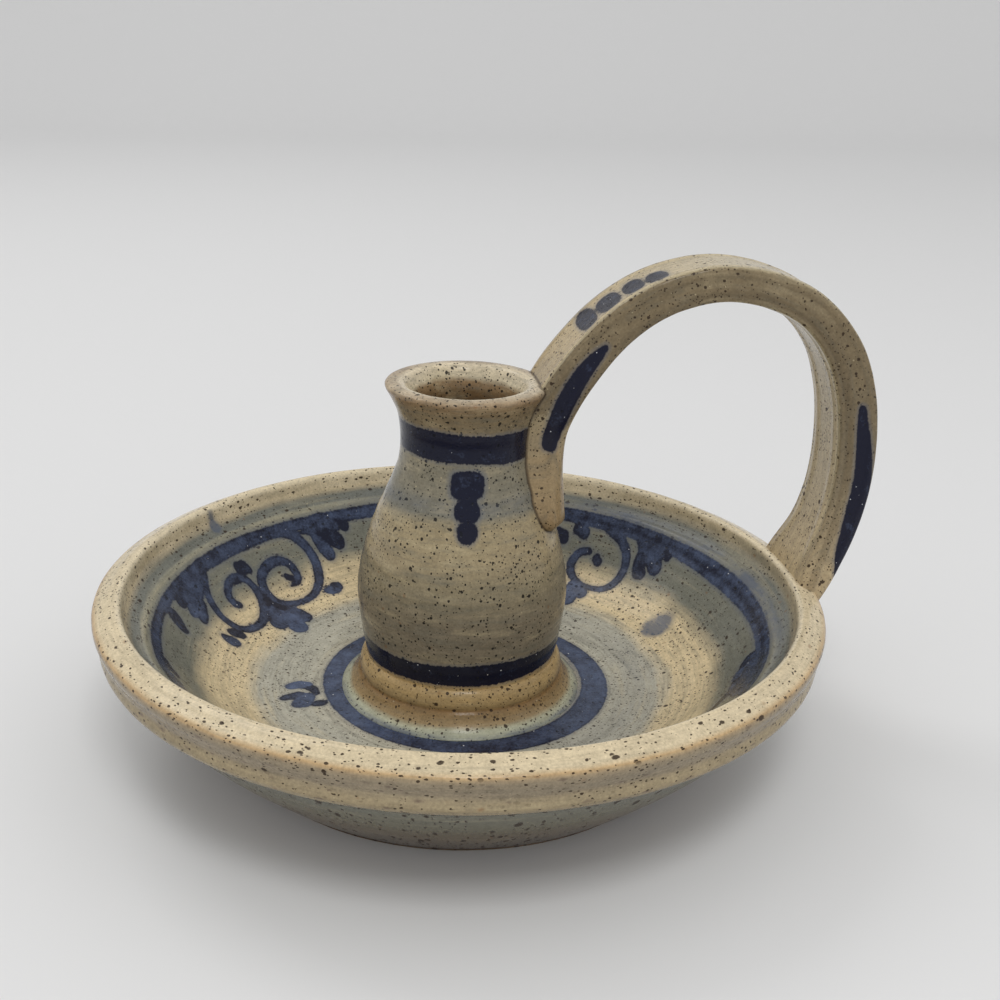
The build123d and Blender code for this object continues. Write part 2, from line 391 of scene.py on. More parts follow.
# The group behind the socket, as far as it shows beside it
BACK_RIGHT = [
    (DEEP, [(41.5, 56.6, 0.9), (44.0, 54.0, 1.1), (46.6, 50.8, 1.1), (48.6, 47.4, 1.15),
            (49.8, 43.8, 1.1), (49.7, 40.3, 1.15), (48.0, 37.4, 1.2), (45.3, 35.9, 1.2),
            (42.3, 36.2, 0.95), (39.7, 38.1, 0.8), (37.7, 40.3, 0.8), (36.2, 43.0, 0.95),
            (35.8, 45.8, 1.2), (36.8, 48.0, 1.3), (38.9, 48.9, 1.15), (40.6, 48.3, 1.0)]),
    (DARK, [(40.9, 48.2, 0.9), (41.4, 47.6, 0.75)]),
    (DARK, [(42.6, 45.3, 1.15), (42.9, 43.9, 1.15)]),
    (DARK, [(39.5, 54.6, 1.5), (40.2, 53.9, 1.5)]),
    (DEEP, [(40.6, 53.2, 1.6), (40.9, 52.5, 1.4)]),
    (MIDDLE, [(35.6, 41.6, 1.3), (34.6, 38.9, 2.3), (33.3, 36.6, 2.0)]),
    (MIDDLE, [(36.4, 40.0, 1.6), (36.9, 38.0, 1.7), (37.1, 37.4, 1.7)]),
    (DEEP, [(53.6, 44.2, 0.7), (54.6, 41.0, 1.8), (55.4, 37.8, 2.8), (57.2, 35.8, 2.4)]),
    (DARK, [(53.4, 38.0, 2.0), (52.2, 36.4, 1.8), (51.8, 34.6, 1.6), (52.2, 33.6, 1.2)]),
    (DEEP, [(55.6, 35.6, 2.0), (55.6, 33.0, 1.8), (55.7, 32.0, 1.5)]),
    (DARK, [(58.6, 34.2, 1.2), (58.9, 32.6, 1.1)]),
]
# The group in front on the right, as far as it shows over the rim
FRONT_RIGHT = [
    (DEEP, [(63.6, -22.8, 1.1), (61.6, -25.8, 2.1), (59.4, -29.8, 3.0), (57.4, -34.0, 3.2),
            (55.8, -38.0, 2.6), (54.8, -40.6, 1.8)]),
    (DARK, [(62.7, -22.3, 1.2), (61.6, -24.0, 1.7)]),
    (MIDDLE, [(60.0, -25.9, 1.5), (58.9, -28.2, 2.0)]),
    (DEEP, [(56.6, -31.4, 1.5), (56.0, -33.4, 1.7)]),
    (DARK, [(54.6, -33.4, 1.0), (52.0, -35.2, 0.8), (49.7, -37.1, 0.7), (47.6, -38.9, 0.8),
            (46.2, -40.8, 1.0), (44.9, -44.4, 1.1), (45.9, -47.8, 1.1), (48.6, -49.4, 1.0)]),
]
# Two petals beside the band in front on the left
FRONT_LEFT = [
    (DARK, [(-66.6, -13.6, 0.6), (-65.3, -16.5, 0.8), (-64.3, -17.7, 0.9), (-63.4, -19.0, 0.5)]),
    (DEEP, [(-65.9, -19.6, 0.8), (-64.1, -22.6, 1.4), (-62.8, -25.6, 1.6), (-61.6, -29.0, 1.8),
            (-60.4, -33.0, 1.6)]),
]
# The rest of these groups repeats the one on the left
HIDDEN_TURN = -84.0
RIGHT_TURN = -190.8
LEFT_TURN = 88.5


def turned(strokes, degrees):
    """The same strokes, turned round the dish."""
    cos, sin = math.cos(math.radians(degrees)), math.sin(math.radians(degrees))
    return [
        (load, [(x * cos - y * sin, x * sin + y * cos, half) for x, y, half in points])
        for load, points in strokes
    ]


def dish_strokes():
    near = SPIRALS[:2] + JOINT_LEAF + SIDE_PETAL + NEAR_CLUSTER
    far = SPIRALS[2:] + JOINT_LEAF + FAR_CLUSTER + FAR_DAB
    return (
        near + far + LOWER_PETALS + RING_FLOWER + BACK_RIGHT + FRONT_RIGHT + FRONT_LEFT
        + turned(far, HIDDEN_TURN) + turned(near, RIGHT_TURN)
        + turned(far + SPIRALS[:2] + LOWER_PETALS, LEFT_TURN)
    )


FAR_AWAY = 20.0
STROKE_SPACING = 0.6


def brushed(rows, strokes):
    """For each place, how deep inside the nearest stroke it is, in millimetres, and its load."""
    depth = np.full(len(rows), -FAR_AWAY)
    load = np.full(len(rows), MIDDLE)
    for amount, points in strokes:
        line = smooth(points, STROKE_SPACING)
        low = line[:, :2].min(0) - FAR_AWAY / 4
        high = line[:, :2].max(0) + FAR_AWAY / 4
        near = np.flatnonzero(np.all((rows[:, :2] > low) & (rows[:, :2] < high), axis=1))
        if not len(near):
            continue
        best = np.full(len(near), -FAR_AWAY)
        for start, end in zip(line, line[1:]):
            along = end[:2] - start[:2]
            reach = rows[near, :2] - start[:2]
            share = np.clip(reach @ along / max(along @ along, 1e-9), 0, 1)
            half = start[2] + share * (end[2] - start[2])
            away = np.linalg.norm(reach - share[:, None] * along, axis=1)
            best = np.maximum(best, half - away)
        deeper = best > depth[near]
        depth[near[deeper]] = best[deeper]
        load[near[deeper]] = amount
    return depth, load


def merge_marks(marks):
    """Joins several (depth, load) pairs: the deepest mark shows."""
    depth = np.stack([mark[0] for mark in marks])
    load = np.stack([np.broadcast_to(mark[1], mark[0].shape) for mark in marks])
    deepest = np.argmax(depth, axis=0)[None]
    return np.take_along_axis(depth, deepest, 0)[0], np.take_along_axis(load, deepest, 0)[0]


def soft_spot(rows, centre, radii, edge):
    """1 inside an oval seen from above, fading over the given share of its size."""
    away = np.hypot((rows[:, 0] - centre[0]) / radii[0], (rows[:, 1] - centre[1]) / radii[1])
    return np.clip((1 + edge - away) / (2 * edge), 0, 1)


# The dish

CREST_RADIUS = rim_radius - LIP_CREST[0] * MM
THROW_PITCH = 3.4 * MM
THROW_DEPTH = 0.07 * MM
RIM_DROP = 0.25 * MM
RIM_DROP_AZIMUTH = math.radians(30)
RIM_SWAY = 0.1 * MM
GROOVES_FROM = 24 * MM
LIP_FROM = 26 * MM
SPECK_RUN = 0.66
# In millimetres: where the blue stops and where the bead ends, as zones, then soft marks
PAINT_END = 75
BELOW_BEAD = 95
SWIRL_RADIUS = 40
WASH_RADIUS = 71.8
SMUDGE = ((52.0, 15.2), (4.0, 3.8))
WALL_DAB = ((-58.0, 46.8), (1.5, 1.6))
RIM_SPOT = ((78.9, -15.2), (0.9, 0.6))


def dish_zones(outline):
    """Where each point of the outline is, in millimetres: plan radius up to the lip's crest, then on."""
    crest = crest_of(outline)
    run = travelled(outline)
    inside = outline[:, 0]
    outside = CREST_RADIUS + run[crest] - run
    return np.where(np.arange(len(outline)) >= crest, inside, outside) / MM


def make_dish():
    outline = dish_outline()
    dish, rows, angle, radius = throw("dish_body", outline, DISH_SEGMENTS)
    which = nearest_on(outline, rows)
    zone = dish_zones(outline)[which]
    inside = which >= crest_of(outline)

    # Spiral throwing lines in the bowl and on the wall outside, and a rim that is never quite true
    spiral = 0.5 + 0.5 * np.sin(zone * MM / THROW_PITCH * TURN - angle)
    fading = 0.55 + 0.45 * np.sin(3 * angle + zone / 9) * np.sin(zone / 5)
    shaped = np.clip((radius - GROOVES_FROM) / (6 * MM), 0, 1) * (rows[:, 2] > 2 * MM)
    lip = np.clip((rows[:, 2] - LIP_FROM) / (10 * MM), 0, 1)
    sway = lip * RIM_SWAY * (0.5 + 0.5 * np.cos(angle))
    drop = lip * RIM_DROP * (0.5 + 0.5 * np.cos(angle - RIM_DROP_AZIMUTH))
    grooves = THROW_DEPTH * spiral * fading * shaped * (1 - 0.6 * lip)
    outward = np.column_stack([rows[:, :2] / np.maximum(radius, WELD)[:, None], np.zeros(len(rows))])
    shaped_rows = rows - vertex_rows(dish, "normal") * grooves[:, None] - outward * sway[:, None]
    shaped_rows[:, 2] -= drop
    move_to(dish, shaped_rows)
    press(dish, "dish_hands", 9 * MM, 0.10 * MM)

    plan = rows[:, :2] / MM
    band_sway = 0.18 * np.sin(3 * angle + 1.0) + 0.12 * np.sin(8 * angle)
    outer_bend = 0.8 * toward(angle, 62, 3, 2)
    from_band = abs(radius / MM - BAND_RADIUS - 0.2 * np.sin(2 * angle + 2.5) - outer_bend)
    right = toward(angle, 10, 1.8, 0.6)
    band = BAND_HALF + band_sway + 0.35 * right - from_band
    band_load = DEEP + right * (0.4 * bump_share(from_band, 0.8) - 0.2)
    from_ring = polar(plan - RING_CENTRE)[1]
    ring = RING_HALF + 0.35 * np.sin(2 * angle + 2.8) - abs(from_ring - RING_RADIUS)
    # The ring is painted lighter on its left and right sides than in front and behind: painted sheen.
    ring_load_and_sheen = DEEP - 0.25 * np.cos(angle) ** 2
    depth, load = merge_marks([brushed(plan, dish_strokes()), (band, band_load), (ring, ring_load_and_sheen)])
    painted = inside & (zone < PAINT_END)
    # The rim's pale glaze ends higher up on the right
    ends_high = toward(angle, 8, 3, 2)
    on_lip = inside * np.clip((zone - 72.2) / 1.2, 0, 1) * np.clip((77.0 - zone) / 1.2, 0, 1)
    # Below the bead the specks have run, and are longer, up and down, than they are wide
    run = travelled(outline)[which] / MM + SPECK_RUN * np.clip(zone - BELOW_BEAD, 0, 40)

    # Blue that ran thin: inside the ring, as a smudge on the right, and as streaks beside it
    halo = bump_share(from_ring - RING_RADIUS + RING_HALF + 1.2, 1.9)
    smudge = soft_spot(plan, *SMUDGE, 0.25) * 1.5
    dab = soft_spot(plan, *WALL_DAB, 0.3) * 1.8
    swirl = bump_share(radius / MM - SWIRL_RADIUS - 3 * np.sin(angle + 0.6), 4.5)
    swirl *= np.clip(np.cos(angle + 0.3), 0, 1)
    wash = bump_share(radius / MM - WASH_RADIUS, 1.9) * toward(angle, 40, 2.2, 0.5)
    haze = np.maximum.reduce([0.75 * halo, smudge, dab, 0.35 * swirl, 1.25 * wash])
    record_on(
        dish, zone=zone - on_lip * ends_high * 0.65, run=run,
        blue=np.where(painted, depth, -FAR_AWAY), load=load, haze=np.where(inside, haze, 0),
        rust=np.where(inside, soft_spot(plan, *RIM_SPOT, 0.3), 0),
    )
    return dish


# The socket

SOCKET_PITCH = 4.2 * MM
SOCKET_GROOVE = 0.09 * MM
# Bands: the height of the middle, then half the width
NECK_BAND = (73.7, 3.3)
WAIST_BAND = (24.5, 2.65)
BAND_SLANT = 0.75
DOT_AZIMUTHS = (-95.5, 95.5)
# The column of dots: height, half its width, half its height, roundness
DOTS = [(66.2, 3.75, 3.05, 3.2), (61.0, 2.95, 2.35, 2.4), (56.9, 2.35, 2.35, 2.1)]


def socket_zones(outline):
    """Height outside, and past the mouth's crest the distance down inside added to it, in mm."""
    crest = crest_of(outline)
    run = travelled(outline)
    return np.where(np.arange(len(outline)) <= crest, outline[:, 1], mouth_height + run - run[crest]) / MM


def make_socket():
    outline = socket_outline()
    socket, rows, angle, radius = throw("socket_body", outline, SOCKET_SEGMENTS)
    which = nearest_on(outline, rows)
    zone = socket_zones(outline)[which]
    outside = which <= crest_of(outline)

    spiral = 0.5 + 0.5 * np.sin(zone * MM / SOCKET_PITCH * TURN + angle)
    fading = 0.6 + 0.4 * np.sin(zone / 6.5 + 2 * angle)
    grooves = SOCKET_GROOVE * spiral * fading * (outside & (rows[:, 2] > floor_height + 8 * MM))
    move_to(socket, rows - vertex_rows(socket, "normal") * grooves[:, None])
    press(socket, "socket_hands", 7 * MM, 0.12 * MM)

    height = rows[:, 2] / MM
    slant = BAND_SLANT * np.cos(angle + math.radians(165))
    neck = NECK_BAND[1] + 0.12 * np.sin(5 * angle) - abs(height - NECK_BAND[0] - slant)
    waist = WAIST_BAND[1] + 0.15 * np.sin(4 * angle + 1) - abs(height - WAIST_BAND[0] + 0.25 * slant)
    marks = [(neck, DENSE), (waist, DENSE)]
    halo = np.zeros(len(rows))
    for azimuth in DOT_AZIMUTHS:
        turn = (angle - math.radians(azimuth) + math.pi) % TURN - math.pi
        for middle, half_width, half_height, roundness in DOTS:
            across = abs(turn * radius / MM) / half_width
            up = abs(height - middle) / half_height
            away = (across ** roundness + up ** roundness) ** (1 / roundness)
            marks.append(((1 - away) * min(half_width, half_height), DENSE))
            halo = np.maximum(halo, np.clip((1.35 - away) / 0.4, 0, 1) * 0.5)
    depth, load = merge_marks(marks)
    smear = bump_share(height - 61.3, 1.7) * 0.5
    record_on(
        socket, zone=zone, blue=np.where(outside, depth, -FAR_AWAY), load=load,
        haze=np.where(outside, np.maximum(halo, smear), 0),
    )
    return socket


# The coil round its foot

def make_coil():
    outline = coil_outline()
    outline = np.vstack([outline, outline[:1]])
    coil, rows, angle, _ = throw("foot_coil", outline, COIL_SEGMENTS)
    height = (rows[:, 2] - floor_height) / MM
    wander = 0.10 * MM * np.sin(3 * angle + 0.8) + 0.06 * MM * np.sin(7 * angle)
    settled = np.clip((height - 1.0) / 3.0, 0, 1) * np.clip((9.0 - height) / 2.0, 0, 1)
    rows[:, 2] += wander * settled
    move_to(coil, rows)
    record_on(coil, zone=height, haze=np.clip((0.9 - height) / 0.6, 0, 1))
    return coil


# The strap handle

# Its middle line, across from the axis and up from the table, in millimetres
STRAP_LINE = [
    (17.7, 50.3), (16.3, 53.0), (15.8, 56.0), (15.5, 62.0), (15.5, 66.0), (16.2, 75.0), (20.2, 83.9),
    (25.5, 91.6), (31.9, 98.5), (40.0, 104.0), (48.8, 107.0), (56.0, 107.74), (65.3, 106.2), (74.7, 101.9),
    (82.8, 93.1), (87.0, 83.0), (88.68, 72.0), (88.5, 60.0), (86.2, 49.2), (82.6, 41.0), (78.2, 33.2),
]
# Its sections: how far along as a share, then width, thickness and corner radius in millimetres
STRAP_SECTIONS = [
    (0.0, 10.0, 8.0, 3.4), (0.012, 19.0, 10.5, 4.0), (0.028, 23.5, 11.0, 4.2), (0.05, 23.0, 11.0, 4.2),
    (0.075, 19.1, 11.0, 3.4), (0.105, 15.6, 11.0, 2.2), (0.135, 14.4, 11.0, 1.6),
    (0.18, 16.0, 9.8, 1.15), (0.23, 17.3, 8.85, 1.0), (0.29, 17.1, 8.25, 0.9), (0.35, 16.7, 7.9, 0.9),
    (0.41, 16.3, 7.7, 0.9), (0.47, 16.2, 7.6, 0.9), (0.53, 16.2, 7.7, 0.9), (0.59, 16.2, 8.0, 0.9),
    (0.65, 16.2, 8.6, 0.9), (0.71, 16.2, 9.1, 0.9), (0.77, 16.4, 9.2, 0.9), (0.83, 16.8, 9.0, 0.9),
    (0.88, 17.6, 8.6, 0.9), (0.92, 19.3, 8.1, 0.9), (0.96, 23.0, 7.2, 0.9), (1.0, 27.0, 4.9, 0.9),
]
TIP_LENGTH = 1.2
CROWN = 0.12
# Ridges and channels drawn by the fingers: from which corner, how far round from it, height, width
FINGER_LINES = [
    ("outer", -1.9, -0.18, 0.6), ("outer", 1.5, -0.26, 0.55),
    ("inner", -2.3, -0.55, 1.15), ("inner", 3.0, -0.30, 1.1),
]
# Strokes on the edges: x and z from the frame's origin, then half the brush's width
EDGE_STROKES = [
    (DENSE, [(28.5, 94.5, 0.75), (26.6, 92.4, 1.35), (24.4, 89.6, 1.75), (22.3, 86.0, 2.0),
             (20.5, 82.0, 2.1), (19.0, 78.0, 2.0), (17.9, 74.6, 1.9), (17.5, 72.6, 1.75)]),
    (DENSE, [(88.6, 79.6, 0.95), (89.2, 75.5, 1.45), (90.0, 70.5, 1.85), (90.6, 65.5, 2.15),
             (90.6, 60.5, 2.4), (89.9, 55.0, 2.55), (88.8, 49.5, 2.3), (87.4, 44.2, 1.7),
             (86.4, 40.2, 0.7)]),
]
# Dabs on the outer face: x on its outer line, across, half along, half across
OUTER_DABS = [(26.0, 0.3, 2.55, 6.0), (30.4, -0.7, 3.0, 5.0), (35.6, -1.3, 2.5, 4.4), (40.4, -2.4, 2.5, 3.7)]
DAB_ROUNDNESS = 2.5
EDGE_START = 6.9


def strap_section(width, thickness, corner):
    """Evenly spaced points round one section, from the middle of the outer face to the near side."""
    corner = min(corner, 0.46 * thickness, 0.46 * width)
    across, deep = width / 2 - corner, thickness / 2 - corner
    turns = [(-across, deep, 90), (-across, -deep, 180), (across, -deep, 270), (across, deep, 360)]
    rounded = [arc((x, y), corner, start, start + 90, corner / 8) for x, y, start in turns]
    loop = np.vstack([[(0, thickness / 2)], *rounded, [(0, thickness / 2)]])
    run = travelled(loop)
    at = np.linspace(0, run[-1], STRAP_SIDES + 1)[:-1]
    points = resampled(loop, run, at)
    side = np.roll(points, -1, axis=0) - np.roll(points, 1, axis=0)
    out = np.column_stack([-side[:, 1], side[:, 0]])
    out /= np.linalg.norm(out, axis=1)[:, None]
    # Distance round from the middle of the outer face, the same on both sides
    round_from = np.minimum(at, run[-1] - at)
    outer_corner = across + corner * math.pi / 4
    inner_corner = outer_corner + 2 * deep + corner * math.pi / 2
    lift = np.zeros(STRAP_SIDES)
    for which, offset, height, spread in FINGER_LINES:
        line = (outer_corner if which == "outer" else inner_corner) + offset
        lift += height * bump_share(round_from - line, spread)
    lift += CROWN * np.clip(1 - (points[:, 0] / max(across, 1)) ** 2, 0, 1) * (points[:, 1] > 0) - CROWN
    return points + out * lift[:, None]


def strap_bar():
    """A round bar one unit long, cut into many short lengths."""
    pick()
    bpy.ops.mesh.primitive_cylinder_add(
        vertices=STRAP_SIDES, radius=1, depth=1, end_fill_type="TRIFAN", location=(0, 0, 0.5)
    )
    bar = bpy.context.object
    bar.name = bar.data.name = "handle_strap"
    bpy.ops.object.transform_apply(location=True, rotation=True, scale=True)
    mode("EDIT")
    bpy.ops.mesh.select_mode(type="EDGE")
    for cuts in STRAP_CUTS:
        pick_all("DESELECT")
        mode("OBJECT")
        for edge in bar.data.edges:
            low, high = (bar.data.vertices[index].co for index in edge.vertices)
            edge.select = abs(low.z - high.z) > 1e-4
        mode("EDIT")
        bpy.ops.mesh.subdivide(number_cuts=cuts)
    bpy.ops.mesh.select_mode(type="VERT")
    mode("OBJECT")
    bpy.ops.object.shade_smooth()
    return bar


def make_handle():
    handle = strap_bar()
    rows = vertex_rows(handle)
    line = smooth(STRAP_LINE, 0.25)
    run = travelled(line)
    length = run[-1]
    rings = (STRAP_CUTS[0] + 1) * (STRAP_CUTS[1] + 1)
    at = np.linspace(0, length, rings + 1)
    middle = resampled(line, run, at)
    tangent = np.gradient(middle, axis=0)
    tangent /= np.linalg.norm(tangent, axis=1)[:, None]
    # Out from the loop, square to the line
    out = np.column_stack([-tangent[:, 1], tangent[:, 0]])
    table = smooth([(share * length, *sizes) for share, *sizes in STRAP_SECTIONS], 0.5)
    width, deep, corner = (np.interp(at, table[:, 0], table[:, column]) for column in (1, 2, 3))
    rounding = np.sqrt(np.clip(1 - (1 - np.clip(at / TIP_LENGTH, 0, 1)) ** 2, 0.02, 1))
    sections = np.stack([
        strap_section(w * tip, d * tip, c) for w, d, c, tip in zip(width, deep, corner, rounding)
    ])
    ring = np.rint(rows[:, 2] * rings).astype(int)
    angle, size = polar(rows)
    side = np.rint(angle % TURN / TURN * STRAP_SIDES).astype(int) % STRAP_SIDES
    local = sections[ring, side] * size[:, None]
    sway = 0.12 * np.sin(at / 23) + 0.08 * np.sin(at / 9 + 1)
    x = middle[ring, 0] + out[ring, 0] * local[:, 1]
    z = middle[ring, 1] + out[ring, 1] * local[:, 1]
    y = local[:, 0] + sway[ring]
    move_to(handle, np.column_stack([x, y, z]) * MM)
    pick(handle)
    mode("EDIT")
    pick_all()
    bpy.ops.mesh.normals_make_consistent(inside=False)
    mode("OBJECT")
    press(handle, "handle_hands", 8 * MM, 0.16 * MM)

    plan = np.column_stack([x, z])
    edge_depth, edge_load = brushed(plan, EDGE_STROKES)
    # A stroke on the edge stops short of the faces
    edge_depth = np.minimum(edge_depth, (abs(y) - EDGE_START) * 0.8)
    marks = [(edge_depth, edge_load)]
    outer_line = middle + out * deep[:, None] / 2
    top = np.argmax(outer_line[:, 1])
    for dab_x, dab_y, half_along, half_across in OUTER_DABS:
        centre = resampled(outer_line[:top], outer_line[:top, 0], [dab_x])[0]
        nearest = np.argmin(np.linalg.norm(outer_line - centre, axis=1))
        reach = plan - centre
        along = abs(reach @ tangent[nearest]) / half_along
        across = abs(y - dab_y) / half_across
        away = (along ** DAB_ROUNDNESS + across ** DAB_ROUNDNESS) ** (1 / DAB_ROUNDNESS)
        above = (local[:, 1] > 0) & (at[ring] < length / 2)
        marks.append((np.where(above, (1 - away) * half_along, -FAR_AWAY), DARK))
    depth, load = merge_marks(marks)
    rise = local[:, 1] + deep[ring] / 2
    record_on(handle, zone=at[ring], side=local[:, 0], rise=rise, blue=depth, load=load)
    return handle


# Where clay was joined to clay, a dark line: partly glaze gathered in the joint, partly painted shade in the
# crease

RIM_SEAM = 0.74
NECK_SEAM = 1.0
SEAM_REACH = 1.6 * MM
STRAP_SEAM_REACH = 1.3 * MM


def record_seam(piece, others, reach):
    """How near each vertex is to the pieces it was joined to: 0 away from them, their share at the seam."""
    graph = bpy.context.evaluated_depsgraph_get()
    trees = [(BVHTree.FromObject(other, graph), share) for other, share in others]
    near = np.zeros(len(piece.data.vertices))
    for index, vertex in enumerate(piece.data.vertices):
        for tree, share in trees:
            found = tree.find_nearest(vertex.co, reach)
            if found[0] is not None:
                near[index] = max(near[index], share * (1 - found[3] / reach))
    record_on(piece, seam=near)


# Finishes

def tone(red, green, blue):
    """A colour as it would be picked on screen, from 0 to 255, as the linear one that shaders use."""
    shares = (channel / 255 for channel in (red, green, blue))
    linear = [s / 12.92 if s <= 0.04045 else ((s + 0.055) / 1.055) ** 2.4 for s in shares]
    return (*linear, 1.0)


class Socket:
    """One output of a finish's nodes; arithmetic on it adds Math nodes."""

    def __init__(self, finish, link):
        self.finish = finish
        self.link = link

    def also(self, out):
        """Another output of the same node."""
        return Socket(self.finish, self.link.node.outputs[out])

    def math(self, operation, *others):
        return self.finish.node(
            "ShaderNodeMath", {"operation": operation}, dict(enumerate((self, *others)))
        )

    def __add__(self, other):
        return self.math("ADD", other)

    def __mul__(self, other):
        return self.math("MULTIPLY", other)

    def __sub__(self, other):
        return self.math("SUBTRACT", other)

    def __rsub__(self, other):
        return self * -1 + other

    def __truediv__(self, other):
        return self.math("DIVIDE", other)

    __radd__ = __add__
    __rmul__ = __mul__

    def clamped(self):
        """The same value, held between 0 and 1."""
        return self.finish.node(
            "ShaderNodeMath", {"operation": "ADD", "use_clamp": True}, {0: self, 1: 0.0}
        )

    def between(self, low, high):
        """0 at low, 1 at high, smooth in between; low may be the higher one."""
        return self.finish.node(
            "ShaderNodeMapRange",
            {"interpolation_type": "SMOOTHSTEP"},
            {"Value": self, "From Min": low, "From Max": high, "To Min": 0.0, "To Max": 1.0},
        )


class Finish:
    """One material and its nodes."""

    def __init__(self, name):
        self.material = bpy.data.materials.new(name)
        self.material.use_nodes = True
        self.tree = self.material.node_tree
        self.tree.nodes.clear()

    def node(self, kind, settings=None, sockets=None, out=0):
        """Adds a node: its settings first, then its sockets' values or links; gives one output."""
        made = self.tree.nodes.new(kind)
        for name, value in (settings or {}).items():
            if name == "stops":
                self.set_stops(made.color_ramp, value)
            else:
                setattr(made, name, value)
        for name, value in (sockets or {}).items():
            if isinstance(value, Socket):
                self.tree.links.new(value.link, made.inputs[name])
            else:
                made.inputs[name].default_value = value
        return Socket(self, made.outputs[out]) if made.outputs else None

    def set_stops(self, ramp, stops):
        while len(ramp.elements) < len(stops):
            ramp.elements.new(1.0)
        for element, (position, colour) in zip(ramp.elements, stops):
            element.position = position
            element.color = colour

    def attribute(self, name):
        return self.node("ShaderNodeAttribute", {"attribute_name": name}, out="Fac")

    def place(self):
        return self.node("ShaderNodeTexCoord", out="Object")

    def noise(self, vector, scale, detail=3.0, roughness=0.55, out=0):
        return self.node(
            "ShaderNodeTexNoise", {"noise_dimensions": "3D"},
            {"Vector": vector, "Scale": scale, "Detail": detail, "Roughness": roughness}, out,
        )

    def vector(self, operation, first, second):
        """Vector arithmetic; a second value that is a plain number scales the first."""
        key = "Scale" if operation == "SCALE" else 1
        return self.node("ShaderNodeVectorMath", {"operation": operation}, {0: first, key: second})

    def mix(self, share, first, second):
        """One colour turning into another by a share."""
        return self.node("ShaderNodeMix", {"data_type": "RGBA"}, {0: share, 6: first, 7: second}, 2)

    def ramp(self, value, zones):
        """Colours laid along a value: zones are pairs of a value and its colour, from 0 to 255."""
        low, high = zones[0][0], zones[-1][0]
        stops = [((at - low) / (high - low), tone(*colour)) for at, colour in zones]
        return self.node("ShaderNodeValToRGB", {"stops": stops}, {0: (value - low) / (high - low)})

    def specks(self, vector, cell, size, share, softness=0.3):
        """Spots: that share of the cells holds one, each of its own size up to the given one."""
        settings = {"feature": "F1", "voronoi_dimensions": "3D"}
        cells = self.node("ShaderNodeTexVoronoi", settings, {"Vector": vector, "Scale": 1 / cell})
        parts = self.node("ShaderNodeSeparateColor", sockets={0: cells.also("Color")})
        chosen = parts.also(1).math("LESS_THAN", share)
        radius = (parts * parts * 0.6 + 0.4) * (size / cell)
        return (1 - cells / radius).between(0.0, softness) * chosen

    def surface(self, sockets):
        """The surface that the nodes end in; gives the material."""
        made = self.node("ShaderNodeBsdfPrincipled", sockets=sockets)
        self.node("ShaderNodeOutputMaterial", sockets={"Surface": made})
        return self.material


# What the glaze is made of
IRON = tone(14, 12, 12)
IRON_BROWN = tone(50, 36, 24)
IRON_RUST = tone(128, 84, 44)
IRON_BLED = tone(92, 74, 70)
IRON_IN_BLUE = tone(10, 10, 16)
THIN_GLAZE = tone(198, 184, 150)
THICK_GLAZE = tone(108, 108, 98)
COBALT = tone(6, 12, 38)
COBALT_THIN = tone(84, 98, 128)
COBALT_HALO = tone(90, 97, 110)
# The dark line at the joins: gathered glaze and painted shade
SEAM_POOL_AND_SHADE = tone(58, 46, 34)
# Painted shade for the channel along the strap's edge face
CHANNEL_SHADE = tone(78, 66, 48)
# White for pinholes in the glaze and painted glints on the blue
WHITE_PINHOLE_AND_GLINT = tone(226, 228, 232)


def flow_round(finish, zone, stretch, pitch):
    """A pattern's place on a thrown piece: drawn out round the axis, close set across it."""
    flat = finish.vector("MULTIPLY", finish.place(), (1.0, 1.0, 0.0))
    direction = finish.vector("NORMALIZE", flat, (0.0, 0.0, 0.0))
    parts = finish.node("ShaderNodeSeparateXYZ", sockets={0: direction})
    sideways = parts.also(1)
    return finish.node(
        "ShaderNodeCombineXYZ",
        sockets={"X": parts * stretch, "Y": sideways * stretch, "Z": zone * pitch},
    )


def thrown(stretch, pitch):
    """How the pattern flows on one thrown piece, for its glaze to call."""
    return lambda finish, zone: flow_round(finish, zone, stretch, pitch)


